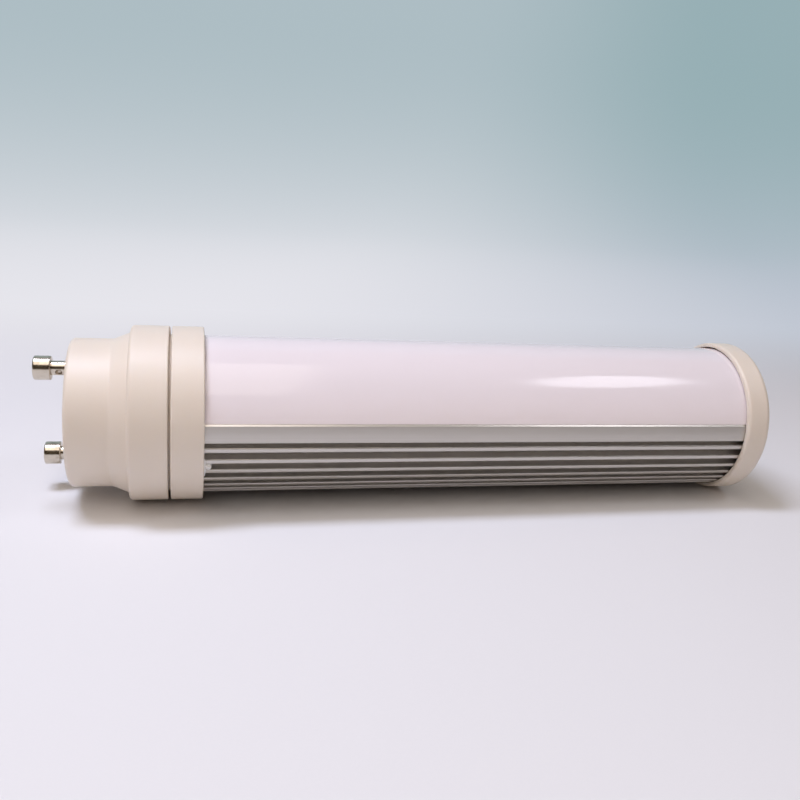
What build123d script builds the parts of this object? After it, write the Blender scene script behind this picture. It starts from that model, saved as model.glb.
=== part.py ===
from build123d import *
import os
from math import cos, radians, sin, sqrt

# LED plug-in lamp with a two-pin twist-lock base, lying on its heat sink. Sizes are in millimetres.
# The origin is the centre of the base's pin face, +X runs to the end cap and +Z leaves the diffuser.

# Clearances
SLIDE_FIT = 0.1
TIGHT_FIT = 0.05

# Base cap: a narrow drum, a taper that ends under a shoulder, and a wider skirt
BASE_R = 16.0
TAPER_START = 8.6
TAPER_END = 12.2
BASE_LENGTH = 20.25
BASE_WALL = 1.8
FACE_WALL = 2.4
FACE_ROUND = 0.9
TAPER_ROUND = 1.2
SHOULDER = 1.55
SHOULDER_ROUND = 0.8
EDGE_ROUND = 0.35

# Contact pins
PIN_SPACING = 24.0
PIN_TILT = 23.0
HEAD_R = 2.5
HEAD_LENGTH = 3.4
HEAD_ROUND = 0.4
NECK_R = 1.5
NECK_LENGTH = 3.1
DIMPLE_R = 0.7
DIMPLE_DEPTH = 0.5
PIN_BOSS_WALL = 1.6
PIN_BOSS_HEIGHT = 2.0
RIVET_R = 2.1
RIVET_THICKNESS = 0.6
TAIL_R = 1.0
TAIL_LENGTH = 2.5

# Collar: snaps into the skirt on one side and takes the tube on the other
SEAM_GAP = 0.5
COLLAR_LENGTH = 6.75
COLLAR_WALL = 1.5
WEB = 1.75
SPIGOT_GAP = 0.8
SPIGOT_WALL = 1.5
SNAP_SETBACK = 2.0
SNAP_HEIGHT = 0.35
SNAP_HALF_WIDTH = 0.6
LEAD_WINDOW_WIDTH = 12.0
LEAD_WINDOW_HEIGHT = 6.5
LEAD_WINDOW_ROUND = 1.5

# Tube: finned extrusion below, opal diffuser above
TUBE_R = 17.5
TUBE_SHOWN = 126.75
FIN_COUNT = 19
FIN_DEPTH = 2.0
FIN_WIDTH = 1.1
FIN_TIP_ROUND = 0.25
SHELL_WALL = 1.8
BAND_BOTTOM = -1.0
DECK_TOP = 0.5
DECK = 2.0
RAIL_TOP = 3.0
LIP = 1.1
LIP_CHAMFER = 0.4
SLOT_WALL = 1.3
SLOT_DEPTH = 1.0
PORT_WALL = 1.05
PORT_MERGE = 0.3
DIFFUSER_INSET = 0.25
DIFFUSER_WALL = 1.4
DIFFUSER_LEG = 1.1
DIFFUSER_FOOT = 1.2

# End cap
CAP_LENGTH = 6.4
CAP_RIM = 1.0
CAP_WALL = 2.2
CAP_RIM_ROUND = 0.8
CAP_ROUND = 1.8

# Screws: the shanks are drawn at the core of the thread
SCREW_R = 1.2
SCREW_LENGTH = 9.0
SCREW_TIP = 1.2
SCREW_CLEARANCE = 0.4
SUNK_HEAD_R = 2.7
SUNK_DEPTH = 0.1
PAN_HEAD_R = 2.8
PAN_HEAD_HEIGHT = 1.9
PAN_HEAD_ROUND = 0.8
BOARD_SCREW_R = 1.0
BOARD_SCREW_HEAD_R = 2.0
BOARD_SCREW_HEAD_HEIGHT = 1.3
BOARD_SCREW_MARGIN = 8.0
SCREWS_BEFORE_SLOT = 3

# LED board
PAD = 0.2
LED_BOARD = 1.0
LED_BOARD_END_GAP = 2.0
LED_BOARD_SIDE_GAP = 0.5
LED_SIZE = 5.0
LED_HEIGHT = 1.6
LED_WELL = 4.0
LED_WELL_DEPTH = 0.2
LEDS_PER_ROW = 18
LED_ROW_SPACING = 13.0
LED_END_MARGIN = 6.0
LEAD_SLOT_LENGTH = 6.0
LEAD_SLOT_WIDTH = 2.4

# Driver in its sleeve
SLEEVE_GAP = 0.2
SLEEVE_WALL = 0.4
SLEEVE_OVERHANG = 1.5
SLEEVE_ROUND = 0.8
DRIVER_OFFSET = 11.5
DRIVER_BOARD = 1.2
SOLDER_ROOM = 1.1

# Driver components: lengths run along the lamp
BOARD_MARGIN = 1.4
SIDE_MARGIN = 0.6
PART_GAP = 0.7
PART_CLEARANCE = 0.9
LEG_R = 0.3
LEG_BEND = 0.7
FUSE_LENGTH = 7.0
FUSE_R = 1.3
FILM_LENGTH = 9.0
FILM_WIDTH = 4.5
FILM_ROUND = 0.6
BRIDGE_LENGTH = 4.6
BRIDGE_WIDTH = 3.8
BRIDGE_HEIGHT = 2.4
BRIDGE_LEGS = 2
CHOKE_R = 3.4
CHOKE_FLANGE = 0.9
CHOKE_WIRE_DEPTH = 0.4
INPUT_CAN_LENGTH = 12.0
OUTPUT_CAN_LENGTH = 10.0
CAN_ROUND = 0.5
CAN_CRIMP = 0.4
CAN_CRIMP_SETBACK = 2.5
CAN_LEG_SPACING = 2.5
CAN_LEG_REACH = 1.6
CORE_LENGTH = 11.0
CORE_WIDTH = 11.6
CORE_LEG = 1.9
CORE_CENTRE = 2.8
WINDING_OVER = 1.3
WINDING_ROUND = 0.5
CHIP_LENGTH = 3.9
CHIP_WIDTH = 4.9
CHIP_HEIGHT = 1.4
CHIP_LEGS = 4
PACKAGE_LEG = 0.5
PACKAGE_LEG_REACH = 0.9
PACKAGE_LEG_THICKNESS = 0.25

# Leads
LEAD_R = 0.8
LEAD_SIDE = 3.0
LEAD_BEND = 2.2
LEAD_STUB = 0.2
LED_LEAD_R = 0.5
LED_LEAD_SIDE = 1.6
LED_LEAD_BEND = 1.2
LED_LEAD_RUN = 6.0
LED_LEAD_REACH = 4.0
LED_LEAD_SCREW_GAP = 8.0

# Dab of adhesive in one groove, against the collar
DAB_LENGTH = 1.7
DAB_GROOVE = 2

# Places along the lamp
COLLAR_START = BASE_LENGTH + SEAM_GAP
COLLAR_END = COLLAR_START + COLLAR_LENGTH
INNER_TAPER_END = TAPER_END + BASE_WALL
SPIGOT_END = INNER_TAPER_END + SPIGOT_GAP
SNAP_AT = SPIGOT_END + SNAP_SETBACK
TUBE_START = COLLAR_START + WEB
CAP_START = COLLAR_END + TUBE_SHOWN
CAP_END = CAP_START + CAP_LENGTH
TUBE_END = CAP_END - CAP_WALL

# Radii about the lamp's axis
SOCKET_R = TUBE_R + SLIDE_FIT
SKIRT_R = SOCKET_R + COLLAR_WALL
CAP_R = SOCKET_R + CAP_RIM
TAPER_R = SKIRT_R - SHOULDER
SKIRT_BORE = SKIRT_R - BASE_WALL
BASE_BORE = BASE_R - BASE_WALL
SPIGOT_R = SKIRT_BORE - SLIDE_FIT
SPIGOT_BORE = SPIGOT_R - SPIGOT_WALL
ROOT_R = TUBE_R - FIN_DEPTH
CAVITY_R = ROOT_R - SHELL_WALL
DIFFUSER_R = TUBE_R - DIFFUSER_INSET

# Extrusion: half widths from the middle plane, and heights
SLOT_HALF = TUBE_R - SLOT_WALL
LIP_HALF = SLOT_HALF - SLOT_DEPTH
LIP_BOTTOM = RAIL_TOP - LIP
CAVITY_TOP = DECK_TOP - DECK
FIN_PITCH = 180.0 / (FIN_COUNT + 1)
PORT_R = SCREW_R + TIGHT_FIT
PORT_BOSS_R = PORT_R + PORT_WALL
PORT_Z = CAVITY_TOP - PORT_BOSS_R + PORT_MERGE
PORT_Y = sqrt((CAVITY_R - PORT_BOSS_R + PORT_MERGE) ** 2 - PORT_Z**2)

# LED board and diffuser: half widths, heights and ends
LEG_OUTER = LIP_HALF - SLIDE_FIT
LEG_INNER = LEG_OUTER - DIFFUSER_LEG
LED_BOARD_HALF = LEG_INNER - LED_BOARD_SIDE_GAP
LED_BOARD_BOTTOM = DECK_TOP + PAD
LED_BOARD_TOP = LED_BOARD_BOTTOM + LED_BOARD
LED_BOARD_START = TUBE_START + LED_BOARD_END_GAP
LED_BOARD_END = TUBE_END - LED_BOARD_END_GAP

# Driver: the sleeve fills the cavity between the screw ports, and the board hangs its parts downwards
SLEEVE_HALF = PORT_Y - PORT_BOSS_R - SLEEVE_GAP
SLEEVE_TOP = CAVITY_TOP - SLEEVE_GAP
SLEEVE_R = CAVITY_R - SLIDE_FIT
DRIVER_HALF = SLEEVE_HALF - SLEEVE_WALL - SLIDE_FIT
DRIVER_TOP = SLEEVE_TOP - SLEEVE_WALL - SOLDER_ROOM
DRIVER_FACE = DRIVER_TOP - DRIVER_BOARD
DRIVER_START = TUBE_START + DRIVER_OFFSET
LEAD_LEVEL = DRIVER_FACE - LEAD_BEND - LEAD_STUB

# Places along the driver board from its input end, each part a gap after the one before it
INPUT_AT = BOARD_MARGIN + LEAD_R
FUSE_HALF = FUSE_LENGTH / 2 + 2 * LEG_BEND + LEG_R
FUSE_AT = INPUT_AT + LEAD_R + PART_GAP + FUSE_HALF
FILM_AT = INPUT_AT + LEAD_R + PART_GAP + FILM_LENGTH / 2
BRIDGE_AT = FUSE_AT + FUSE_HALF + PART_GAP + BRIDGE_LENGTH / 2
CHOKE_AT = max(FILM_AT + FILM_LENGTH / 2, BRIDGE_AT + BRIDGE_LENGTH / 2) + PART_GAP + CHOKE_R
INPUT_CAN_AT = CHOKE_AT + CHOKE_R + PART_GAP
CAN_LEGS = CAN_LEG_REACH + LEG_R + PART_GAP
CORE_AT = INPUT_CAN_AT + INPUT_CAN_LENGTH + CAN_LEGS + CORE_LENGTH / 2
CHIP_AT = CORE_AT + CORE_LENGTH / 2 + PART_GAP + CHIP_LENGTH / 2
OUTPUT_CAN_AT = CHIP_AT + CHIP_LENGTH / 2 + PART_GAP
OUTPUT_AT = OUTPUT_CAN_AT + OUTPUT_CAN_LENGTH + CAN_LEGS + LED_LEAD_R
DRIVER_END = DRIVER_START + OUTPUT_AT + LED_LEAD_R + BOARD_MARGIN

# Screws along the LED board: some before the slot that the LED leads come up through, and one at the far end
LEAD_SLOT_AT = DRIVER_END + SLEEVE_OVERHANG + LED_LEAD_RUN
FIRST_SCREW = LED_BOARD_START + BOARD_SCREW_MARGIN
SCREW_STEP = (LEAD_SLOT_AT - LED_LEAD_SCREW_GAP - FIRST_SCREW) / (SCREWS_BEFORE_SLOT - 1)
BOARD_SCREW_PLACES = [FIRST_SCREW + i * SCREW_STEP for i in range(SCREWS_BEFORE_SLOT)]
BOARD_SCREW_PLACES.append(LED_BOARD_END - BOARD_SCREW_MARGIN)

# The pins stand on a line through the axis, leaning by the tilt from the upright
PIN_Y = PIN_SPACING / 2 * sin(radians(PIN_TILT))
PIN_Z = PIN_SPACING / 2 * cos(radians(PIN_TILT))
PIN_SEAT = FACE_WALL + PIN_BOSS_HEIGHT
TAIL_END = PIN_SEAT + RIVET_THICKNESS + TAIL_LENGTH


def turned(corners):
    """Solid of revolution about X from (x, radius, rounding) corners of its half section."""
    outline = FilletPolyline(*[(x, r) for x, r, _ in corners], radius=[c for _, _, c in corners], close=True)
    return revolve(make_face(outline), Axis.X)


def bar(section, start, end):
    """Extrude a section drawn across the lamp, Y to the right and Z up, between two places along X."""
    return extrude(Plane.YZ.offset(start) * section, amount=end - start)


def block(y0, y1, z0, z1):
    """Rectangle of a cross section by its sides."""
    return Pos((y0 + y1) / 2, (z0 + z1) / 2) * Rectangle(y1 - y0, z1 - z0)


def both_sides(section):
    """A section and its mirror image in the lamp's middle plane."""
    return section + mirror(section, about=Plane.YZ)


def wire(points, radius, bend):
    """Round wire along straight runs joined by arcs."""
    path = FilletPolyline(*points, radius=bend)
    return sweep(Plane(origin=path @ 0, z_dir=path % 0) * Circle(radius), path=path)


def at_pins(section):
    """A cross section repeated at the two pins."""
    return Pos(-PIN_Y, PIN_Z) * section + Pos(PIN_Y, -PIN_Z) * section


def at_ports(section):
    """A cross section repeated at the two screw ports."""
    return Pos(-PORT_Y, PORT_Z) * section + Pos(PORT_Y, PORT_Z) * section


def standing_box(length, width, height):
    """Box that stands on the board, centred on its place."""
    return Box(length, width, height, align=(Align.CENTER, Align.CENTER, Align.MIN))


def snap_ring(radius, height, half_width):
    """Three corners of the snap bead or its groove on a turned section, from right to left."""
    return [
        (SNAP_AT + half_width, radius, 0),
        (SNAP_AT, radius + height, 0),
        (SNAP_AT - half_width, radius, 0),
    ]


def base_cap():
    """Moulded cup with pin bosses in its face and a snap groove in its skirt."""
    shell = turned(
        [
            (0, 0, 0),
            (0, BASE_R, FACE_ROUND),
            (TAPER_START, BASE_R, TAPER_ROUND),
            (TAPER_END, TAPER_R, 0),
            (TAPER_END, SKIRT_R, min(SHOULDER_ROUND, 0.8 * SHOULDER)),
            (BASE_LENGTH, SKIRT_R, EDGE_ROUND),
            (BASE_LENGTH, SKIRT_BORE, 0),
        ]
        + snap_ring(SKIRT_BORE, SNAP_HEIGHT + SLIDE_FIT, SNAP_HALF_WIDTH + SLIDE_FIT)
        + [
            (INNER_TAPER_END, SKIRT_BORE, 0),
            (INNER_TAPER_END - (SKIRT_BORE - BASE_BORE), BASE_BORE, 0),
            (FACE_WALL, BASE_BORE, 0),
            (FACE_WALL, 0, 0),
        ]
    )
    hole_r = NECK_R + TIGHT_FIT
    bosses = Circle(BASE_R - BASE_WALL / 2) & at_pins(Circle(hole_r + PIN_BOSS_WALL))
    shell += bar(bosses, FACE_WALL, PIN_SEAT)
    shell -= bar(at_pins(Circle(RIVET_R + TIGHT_FIT)), PIN_SEAT, TAIL_END + 2 * LEAD_BEND)
    return shell - bar(at_pins(Circle(hole_r)), 0, PIN_SEAT)


def contact_pin(side):
    """Turned pin: head, neck with a dimple, riveted flange and solder tail. Side is 1 for the upper pin."""
    tip = -NECK_LENGTH - HEAD_LENGTH
    pin = turned(
        [
            (tip, 0, 0),
            (tip, HEAD_R, HEAD_ROUND),
            (-NECK_LENGTH, HEAD_R, HEAD_ROUND / 2),
            (-NECK_LENGTH, NECK_R, 0),
            (PIN_SEAT, NECK_R, 0),
            (PIN_SEAT, RIVET_R, 0),
            (PIN_SEAT + RIVET_THICKNESS, RIVET_R, RIVET_THICKNESS / 2),
            (PIN_SEAT + RIVET_THICKNESS, TAIL_R, 0),
            (TAIL_END, TAIL_R, 0),
            (TAIL_END, 0, 0),
        ]
    )
    reach = NECK_R + DIMPLE_R - DIMPLE_DEPTH
    lean = radians(PIN_TILT)
    dimple = Pos(-NECK_LENGTH / 2, -reach * cos(lean), -reach * sin(lean)) * Sphere(DIMPLE_R)
    return Pos(0, -side * PIN_Y, side * PIN_Z) * (pin - dimple)


def collar():
    """Ring with a snap spigot, a web that closes the tube and a window for the leads."""
    ring = turned(
        [
            (TUBE_START, 0, 0),
            (COLLAR_START, 0, 0),
            (COLLAR_START, SPIGOT_BORE, 0),
            (SPIGOT_END, SPIGOT_BORE, 0),
            (SPIGOT_END, SPIGOT_R, EDGE_ROUND),
        ]
        + snap_ring(SPIGOT_R, SNAP_HEIGHT, SNAP_HALF_WIDTH)[::-1]
        + [
            (COLLAR_START, SPIGOT_R, 0),
            (COLLAR_START, SKIRT_R, EDGE_ROUND),
            (COLLAR_END, SKIRT_R, EDGE_ROUND),
            (COLLAR_END, SOCKET_R, 0),
            (TUBE_START, SOCKET_R, 0),
        ]
    )
    window = Pos(0, LEAD_LEVEL) * RectangleRounded(
        LEAD_WINDOW_WIDTH, LEAD_WINDOW_HEIGHT, LEAD_WINDOW_ROUND
    )
    return ring - bar(window + at_ports(Circle(SCREW_R + SCREW_CLEARANCE)), COLLAR_START, TUBE_START)


def fin():
    """Section of one fin, pointing along the first axis, with a rounded tip."""
    half = FIN_WIDTH / 2
    corners = [(CAVITY_R, -half), (TUBE_R, -half), (TUBE_R, half), (CAVITY_R, half)]
    return make_face(FilletPolyline(*corners, radius=[0, FIN_TIP_ROUND, FIN_TIP_ROUND, 0], close=True))


def rail_edge():
    """Section taken off the outer top corner of the right rail."""
    edge = sqrt(TUBE_R**2 - (RAIL_TOP - LIP_CHAMFER) ** 2)
    return Polygon(
        (edge - LIP_CHAMFER, RAIL_TOP),
        (edge, RAIL_TOP - LIP_CHAMFER),
        (TUBE_R, RAIL_TOP - LIP_CHAMFER),
        (TUBE_R, RAIL_TOP),
        align=None,
    )


def cavity():
    """Section of the driver cavity: round below, flat under the deck, a screw port in each upper corner."""
    hollow = Circle(CAVITY_R) & block(-CAVITY_R, CAVITY_R, -CAVITY_R, CAVITY_TOP)
    corner = block(PORT_Y, CAVITY_R, PORT_Z, CAVITY_TOP)
    return hollow - both_sides(corner) - at_ports(Circle(PORT_BOSS_R))


def deck_openings(bottom, thickness, hole_r):
    """Screw holes and the lead slot through a flat layer of the tube."""
    cuts = [Pos(x, 0) * Circle(hole_r) for x in BOARD_SCREW_PLACES]
    cuts.append(Pos(LEAD_SLOT_AT, 0) * Rot(0, 0, 90) * SlotOverall(LEAD_SLOT_LENGTH, LEAD_SLOT_WIDTH))
    return [extrude(Plane.XY.offset(bottom) * cut, amount=thickness) for cut in cuts]


def heat_sink():
    """Extrusion with a fan of fins, two slotted rails, an LED deck, a driver cavity and two screw ports."""
    section = Circle(ROOT_R) + (Circle(TUBE_R) & block(-TUBE_R, TUBE_R, BAND_BOTTOM, RAIL_TOP))
    section += [Rot(0, 0, -FIN_PITCH * (i + 1)) * fin() for i in range(FIN_COUNT)]
    section -= block(-TUBE_R, TUBE_R, RAIL_TOP, TUBE_R)
    section -= block(-LIP_HALF, LIP_HALF, DECK_TOP, RAIL_TOP)
    section -= block(-SLOT_HALF, SLOT_HALF, DECK_TOP, LIP_BOTTOM)
    section -= both_sides(rail_edge())
    section -= cavity() + at_ports(Circle(PORT_R))
    return bar(section, TUBE_START, TUBE_END) - deck_openings(DECK_TOP - DECK, DECK, BOARD_SCREW_R)


def diffuser():
    """Opal trough that rests on the rails, with two legs that hook under their lips."""
    foot_top = RAIL_TOP + DIFFUSER_FOOT
    foot_out = sqrt((DIFFUSER_R - DIFFUSER_WALL / 2) ** 2 - foot_top**2)
    arch = Circle(DIFFUSER_R) - Circle(DIFFUSER_R - DIFFUSER_WALL)
    arch &= block(-DIFFUSER_R, DIFFUSER_R, RAIL_TOP, DIFFUSER_R)
    hook = block(LEG_INNER, foot_out, RAIL_TOP, foot_top)
    hook += block(LEG_INNER, LEG_OUTER, DECK_TOP + SLIDE_FIT, foot_top)
    hook += block(LEG_INNER, SLOT_HALF - SLIDE_FIT, DECK_TOP + SLIDE_FIT, LIP_BOTTOM - SLIDE_FIT)
    return bar(arch + both_sides(hook), TUBE_START, TUBE_END)


def end_cap():
    """Moulded cup that closes the tube, with countersunk screw holes."""
    cup = turned(
        [
            (CAP_START, SOCKET_R, 0),
            (CAP_START, CAP_R, min(CAP_RIM_ROUND, 0.8 * CAP_RIM)),
            (CAP_END, CAP_R, min(CAP_ROUND, 0.8 * CAP_WALL)),
            (CAP_END, 0, 0),
            (TUBE_END, 0, 0),
            (TUBE_END, SOCKET_R, 0),
        ]
    )
    head_r = SUNK_HEAD_R + TIGHT_FIT
    hole_r = SCREW_R + SCREW_CLEARANCE
    seat = CAP_END - SUNK_DEPTH
    hole = turned(
        [
            (CAP_END, 0, 0),
            (CAP_END, head_r, 0),
            (seat, head_r, 0),
            (seat - (head_r - hole_r), hole_r, 0),
            (TUBE_END, hole_r, 0),
            (TUBE_END, 0, 0),
        ]
    )
    return cup - [Pos(0, y, PORT_Z) * hole for y in (-PORT_Y, PORT_Y)]


def shank(seat, away):
    """Corners of a tapping screw's shank from its seat, running away along X with a pointed tip."""
    end = seat + away * SCREW_LENGTH
    return [(seat, SCREW_R, 0), (end - away * SCREW_TIP, SCREW_R, 0), (end, 0, 0)]


def end_cap_screws():
    """Two countersunk screws, flush in the end cap."""
    face = CAP_END - SUNK_DEPTH
    neck = face - (SUNK_HEAD_R - SCREW_R)
    screw = turned([(face, 0, 0), (face, SUNK_HEAD_R, 0)] + shank(neck, -1))
    return Compound(children=[Pos(0, y, PORT_Z) * screw for y in (-PORT_Y, PORT_Y)])


def collar_screws():
    """Two pan head screws that hold the collar's web to the tube."""
    top = COLLAR_START - PAN_HEAD_HEIGHT
    head = [(top, 0, 0), (top, PAN_HEAD_R, PAN_HEAD_ROUND), (COLLAR_START, PAN_HEAD_R, 0)]
    screw = turned(head + shank(COLLAR_START, 1))
    return Compound(children=[Pos(0, y, PORT_Z) * screw for y in (-PORT_Y, PORT_Y)])


def thermal_pad():
    """Heat-conducting sheet between the deck and the LED board."""
    section = block(-LED_BOARD_HALF, LED_BOARD_HALF, DECK_TOP, LED_BOARD_BOTTOM)
    sheet = bar(section, LED_BOARD_START, LED_BOARD_END)
    return sheet - deck_openings(DECK_TOP, PAD, BOARD_SCREW_R + SLIDE_FIT)


def led_board():
    """Aluminium-core board under the diffuser."""
    section = block(-LED_BOARD_HALF, LED_BOARD_HALF, LED_BOARD_BOTTOM, LED_BOARD_TOP)
    plate = bar(section, LED_BOARD_START, LED_BOARD_END)
    return plate - deck_openings(LED_BOARD_BOTTOM, LED_BOARD, BOARD_SCREW_R + SLIDE_FIT)


def led_board_screws():
    """Pan head screws along the middle of the LED board, ending flush under the deck."""
    head = Pos(0, 0, LED_BOARD_TOP) * extrude(Circle(BOARD_SCREW_HEAD_R), amount=BOARD_SCREW_HEAD_HEIGHT)
    stem = Pos(0, 0, CAVITY_TOP) * extrude(Circle(BOARD_SCREW_R), amount=LED_BOARD_TOP - CAVITY_TOP)
    return Compound(children=[Pos(x, 0, 0) * (head + stem) for x in BOARD_SCREW_PLACES])


def led_packages():
    """Two rows of square LED packages with a shallow phosphor well each."""
    well = standing_box(LED_WELL, LED_WELL, LED_WELL_DEPTH)
    led = standing_box(LED_SIZE, LED_SIZE, LED_HEIGHT) - Pos(0, 0, LED_HEIGHT - LED_WELL_DEPTH) * well
    first = LED_BOARD_START + LED_END_MARGIN
    step = (LED_BOARD_END - LED_END_MARGIN - first) / (LEDS_PER_ROW - 1)
    places = [(first + i * step, side * LED_ROW_SPACING / 2) for i in range(LEDS_PER_ROW) for side in (-1, 1)]
    return Compound(children=[Pos(x, y, LED_BOARD_TOP) * led for x, y in places])


def sleeve_section(inset):
    """Section of the driver's sleeve: flat top and sides, and a round bottom that lies in the cavity."""
    half = SLEEVE_HALF - inset
    section = Circle(SLEEVE_R - inset) & block(-half, half, -SLEEVE_R, SLEEVE_TOP - inset)
    return fillet(section.vertices(), SLEEVE_ROUND)


def driver_sleeve():
    """Insulating sleeve around the driver, open at both ends."""
    section = sleeve_section(0) - sleeve_section(SLEEVE_WALL)
    return bar(section, DRIVER_START - SLEEVE_OVERHANG, DRIVER_END + SLEEVE_OVERHANG)


def driver_board():
    """Circuit board of the driver."""
    return bar(block(-DRIVER_HALF, DRIVER_HALF, DRIVER_FACE, DRIVER_TOP), DRIVER_START, DRIVER_END)


def hang(piece, along, side):
    """Hang a piece that was drawn standing on its board from the driver board's lower face."""
    return Pos(DRIVER_START + along, side, DRIVER_FACE) * Rot(180, 0, 0) * piece


def room(side):
    """Height under the driver board for a part that reaches this far from the middle plane."""
    return sqrt((SLEEVE_R - SLEEVE_WALL) ** 2 - side**2) + DRIVER_FACE - PART_CLEARANCE


def edge_place(half_width):
    """Distance of a part's centre from the middle plane, for a part beside the board's long edge."""
    return DRIVER_HALF - SIDE_MARGIN - half_width


def film_capacitor():
    """Boxed film capacitor across the input, beside one edge of the board."""
    case = standing_box(FILM_LENGTH, FILM_WIDTH, room(DRIVER_HALF - SIDE_MARGIN))
    return hang(fillet(case.edges().filter_by(Axis.Z), FILM_ROUND), FILM_AT, edge_place(FILM_WIDTH / 2))


def fuse_resistor():
    """Axial fusible resistor on two bent legs, beside the other edge of the board."""
    half = FUSE_LENGTH / 2
    centre = FUSE_R + SLIDE_FIT
    body = turned([(-half, 0, 0), (-half, FUSE_R, FUSE_R / 2), (half, FUSE_R, FUSE_R / 2), (half, 0, 0)])
    fuse = Pos(0, 0, centre) * body
    for end in (-1, 1):
        foot = end * (half + 2 * LEG_BEND)
        fuse += wire([(end * (half - LEG_BEND), 0, centre), (foot, 0, centre), (foot, 0, 0)], LEG_R, LEG_BEND)
    return hang(fuse, FUSE_AT, -edge_place(FUSE_R))


def package(length, width, height, legs, along):
    """Moulded chip package with flat legs along two sides, beside the edge of the board."""
    half = width / 2 + PACKAGE_LEG_REACH
    leg = standing_box(PACKAGE_LEG, 2 * half, PACKAGE_LEG_THICKNESS)
    body = standing_box(length, width, height)
    step = length / legs
    for i in range(legs):
        body += Pos(-length / 2 + step * (i + 0.5), 0, 0) * leg
    return hang(body, along, -edge_place(half))


def input_choke():
    """Drum core with its winding."""
    wire_r = CHOKE_R - CHOKE_WIRE_DEPTH
    height = room(CHOKE_R)
    top = height - CHOKE_FLANGE
    drum = turned(
        [
            (0, 0, 0),
            (0, CHOKE_R, 0),
            (CHOKE_FLANGE, CHOKE_R, 0),
            (CHOKE_FLANGE, wire_r, 0),
            (top, wire_r, 0),
            (top, CHOKE_R, 0),
            (height, CHOKE_R, 0),
            (height, 0, 0),
        ]
    )
    return hang(Rot(0, -90, 0) * drum, CHOKE_AT, 0)


def lying_can(length, along):
    """Electrolytic capacitor lying on the board, with a crimped end and two legs bent to the board."""
    radius = (room(0) - SLIDE_FIT) / 2
    crimp = length - CAN_CRIMP_SETBACK
    can = turned(
        [
            (0, 0, 0),
            (0, radius, CAN_ROUND),
            (crimp - CAN_CRIMP, radius, 0),
            (crimp, radius - CAN_CRIMP, 0),
            (crimp + CAN_CRIMP, radius, 0),
            (length, radius, CAN_ROUND),
            (length, 0, 0),
        ]
    )
    centre = radius + SLIDE_FIT
    can = Pos(0, 0, centre) * can
    foot = length + CAN_LEG_REACH
    for y in (-CAN_LEG_SPACING / 2, CAN_LEG_SPACING / 2):
        can += wire([(length - LEG_BEND, y, centre), (foot, y, centre), (foot, y, 0)], LEG_R, LEG_BEND)
    return hang(can, along, 0)


def core_window():
    """Length and width of one winding window of the transformer core."""
    return CORE_LENGTH - 2 * CORE_LEG, (CORE_WIDTH - CORE_CENTRE) / 2 - CORE_LEG


def core_height():
    """Height of the core, which leaves room for the winding above and below it."""
    return room(CORE_WIDTH / 2) - 2 * WINDING_OVER


def transformer_core():
    """Pair of ferrite E cores with a winding window on each side of the centre leg."""
    length, width = core_window()
    core = standing_box(CORE_LENGTH, CORE_WIDTH, core_height())
    offset = (CORE_CENTRE + width) / 2
    core -= [Pos(0, side * offset, 0) * standing_box(length, width, core_height()) for side in (-1, 1)]
    return hang(Pos(0, 0, WINDING_OVER) * core, CORE_AT, 0)


def transformer_winding():
    """Taped winding around the core's centre leg, standing on the board."""
    length, width = core_window()
    height = core_height()
    winding_width = CORE_CENTRE + 2 * (width - SLIDE_FIT)
    outer = standing_box(length - 2 * SLIDE_FIT, winding_width, height + 2 * WINDING_OVER)
    outer = fillet(outer.edges().filter_by(Axis.X), WINDING_ROUND)
    leg = Box(CORE_LENGTH, CORE_CENTRE + 2 * TIGHT_FIT, height + 2 * TIGHT_FIT)
    return hang(outer - Pos(0, 0, WINDING_OVER + height / 2) * leg, CORE_AT, 0)


def mains_lead(side):
    """Lead from a pin's solder tail, through the collar's window, to the driver. Side is 1 for the upper pin."""
    y = -side * LEAD_SIDE
    end = DRIVER_START + INPUT_AT
    points = [
        (TAIL_END, -side * PIN_Y, side * PIN_Z),
        (TAIL_END + 2 * LEAD_BEND, -side * PIN_Y, side * PIN_Z),
        (COLLAR_START - LEAD_BEND, y, LEAD_LEVEL),
        (end, y, LEAD_LEVEL),
        (end, y, DRIVER_FACE),
    ]
    return wire(points, LEAD_R, LEAD_BEND)


def led_lead(side):
    """Lead from the driver's output end up through the deck to its pad on the LED board."""
    start = DRIVER_START + OUTPUT_AT
    y = side * LED_LEAD_SIDE
    rest = LED_BOARD_TOP + LED_LEAD_R
    points = [
        (start, y, DRIVER_FACE),
        (start, y, LEAD_LEVEL),
        (LEAD_SLOT_AT, y, LEAD_LEVEL),
        (LEAD_SLOT_AT, y, rest),
        (LEAD_SLOT_AT + LED_LEAD_REACH, y, rest),
    ]
    return wire(points, LED_LEAD_R, LED_LEAD_BEND)


def adhesive_dab():
    """Round-ended dab that fills one groove of the heat sink beside the collar."""
    angle = radians(FIN_PITCH * (DAB_GROOVE + 0.5))
    radius = (2 * ROOT_R * sin(radians(FIN_PITCH / 2)) - FIN_WIDTH) / 2 - TIGHT_FIT
    dab = turned(
        [
            (COLLAR_END, 0, 0),
            (COLLAR_END, radius, 0),
            (COLLAR_END + DAB_LENGTH, radius, 0.9 * radius),
            (COLLAR_END + DAB_LENGTH, 0, 0),
        ]
    )
    reach = ROOT_R + TIGHT_FIT + radius
    return Pos(0, -reach * cos(angle), -reach * sin(angle)) * dab


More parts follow.
